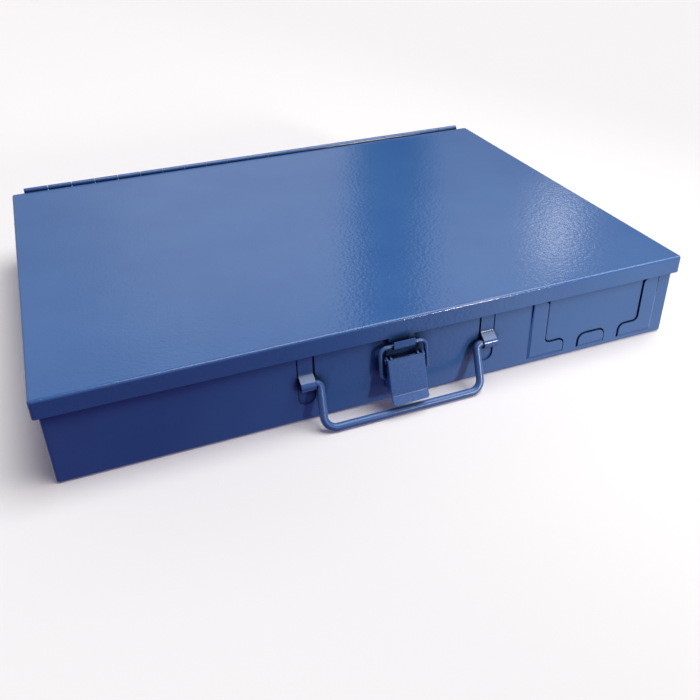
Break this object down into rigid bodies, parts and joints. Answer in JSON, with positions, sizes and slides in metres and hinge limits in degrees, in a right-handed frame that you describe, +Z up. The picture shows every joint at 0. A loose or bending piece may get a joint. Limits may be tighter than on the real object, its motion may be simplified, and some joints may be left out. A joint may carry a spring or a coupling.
{
  "type": "sheet-metal assortment case",
  "caption": "Shallow folded sheet-steel case with a hinged lipped lid, a swinging wire carry handle, a draw latch and a pressed card holder.",
  "frame": {"origin": "centre of the base tray's underside", "axes": "+X along the front to the right, +Y towards the hinge, +Z up"},
  "size_m": [0.33, 0.257, 0.049],
  "materials": {
    "tray_enamel": "gloss, fine orange peel",
    "lid_enamel": "gloss, fine orange peel",
    "hinge_enamel": "gloss",
    "handle_enamel": "gloss",
    "latch_enamel": "gloss",
    "bare_steel": "drawn wire"
  },
  "bodies": {
    "tray": {"base_tray": "tray_enamel", "front_reinforcement": "tray_enamel", "hinge_leaf_base": "hinge_enamel", "hinge_pin": "bare_steel", "latch_base_plate": "latch_enamel", "lever_pivot_pin": "latch_enamel", "latch_rivets": "latch_enamel"},
    "lid": {"lid_panel": "lid_enamel", "hinge_leaf_lid": "hinge_enamel"},
    "handle": {"carry_handle": "handle_enamel"},
    "lever": {"latch_lever": "latch_enamel"},
    "loop": {"latch_loop": "latch_enamel"}
  },
  "joints": [
    {"name": "lid_hinge", "type": "hinge", "parent": "tray", "child": "lid", "pos_m": [0, 0.1208, 0.0472], "axis": [-1, 0, 0], "range_deg": [0, 190]},
    {"name": "handle_swing", "type": "hinge", "parent": "tray", "child": "handle", "pos_m": [0.0015, -0.1213, 0.0223], "axis": [-1, 0, 0], "range_deg": [0, 145]},
    {"name": "latch_lever_pivot", "type": "hinge", "parent": "tray", "child": "lever", "pos_m": [0.002, -0.1241, 0.027], "axis": [-1, 0, 0], "range_deg": [0, 120]},
    {"name": "latch_loop_pivot", "type": "hinge", "parent": "lever", "child": "loop", "pos_m": [0.002, -0.1248, 0.019], "axis": [1, 0, 0], "range_deg": [0, 300]}
  ],
  "couplings": [
    {"joint": "latch_loop_pivot", "follows": "latch_lever_pivot", "ratio": 2.5}
  ]
}
